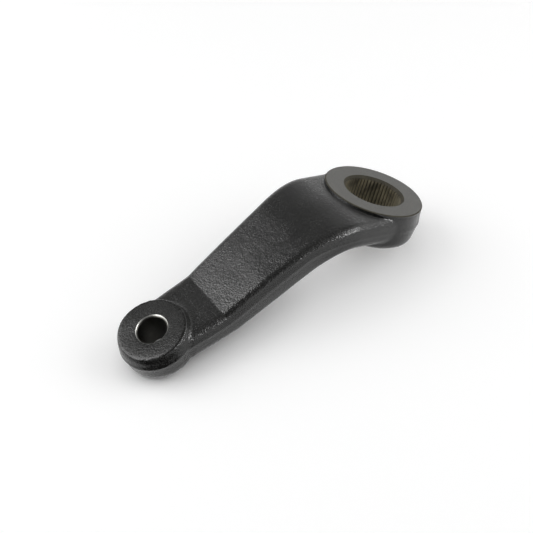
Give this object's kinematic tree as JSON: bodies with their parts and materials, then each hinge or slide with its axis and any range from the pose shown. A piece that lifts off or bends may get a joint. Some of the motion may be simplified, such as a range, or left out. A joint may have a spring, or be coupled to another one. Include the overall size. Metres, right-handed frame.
{
  "type": "pitman arm",
  "caption": "Forged steering pitman arm: a splined eye, a bent tapering shank and a tilted eye with a tapered stud hole, under a black coat.",
  "frame": {"origin": "centre of the splined hole on the sector eye's machined face", "axes": "+Z along the spline and out of the machined face; +X towards the link eye, in the plane of symmetry"},
  "size_m": [0.1728, 0.0562, 0.0868],
  "materials": {
    "forging": "semi-gloss black coat over as-forged skin, machined eye faces and bare holes"
  },
  "bodies": {
    "root": {"pitman_arm": "forging"}
  },
  "joints": []
}
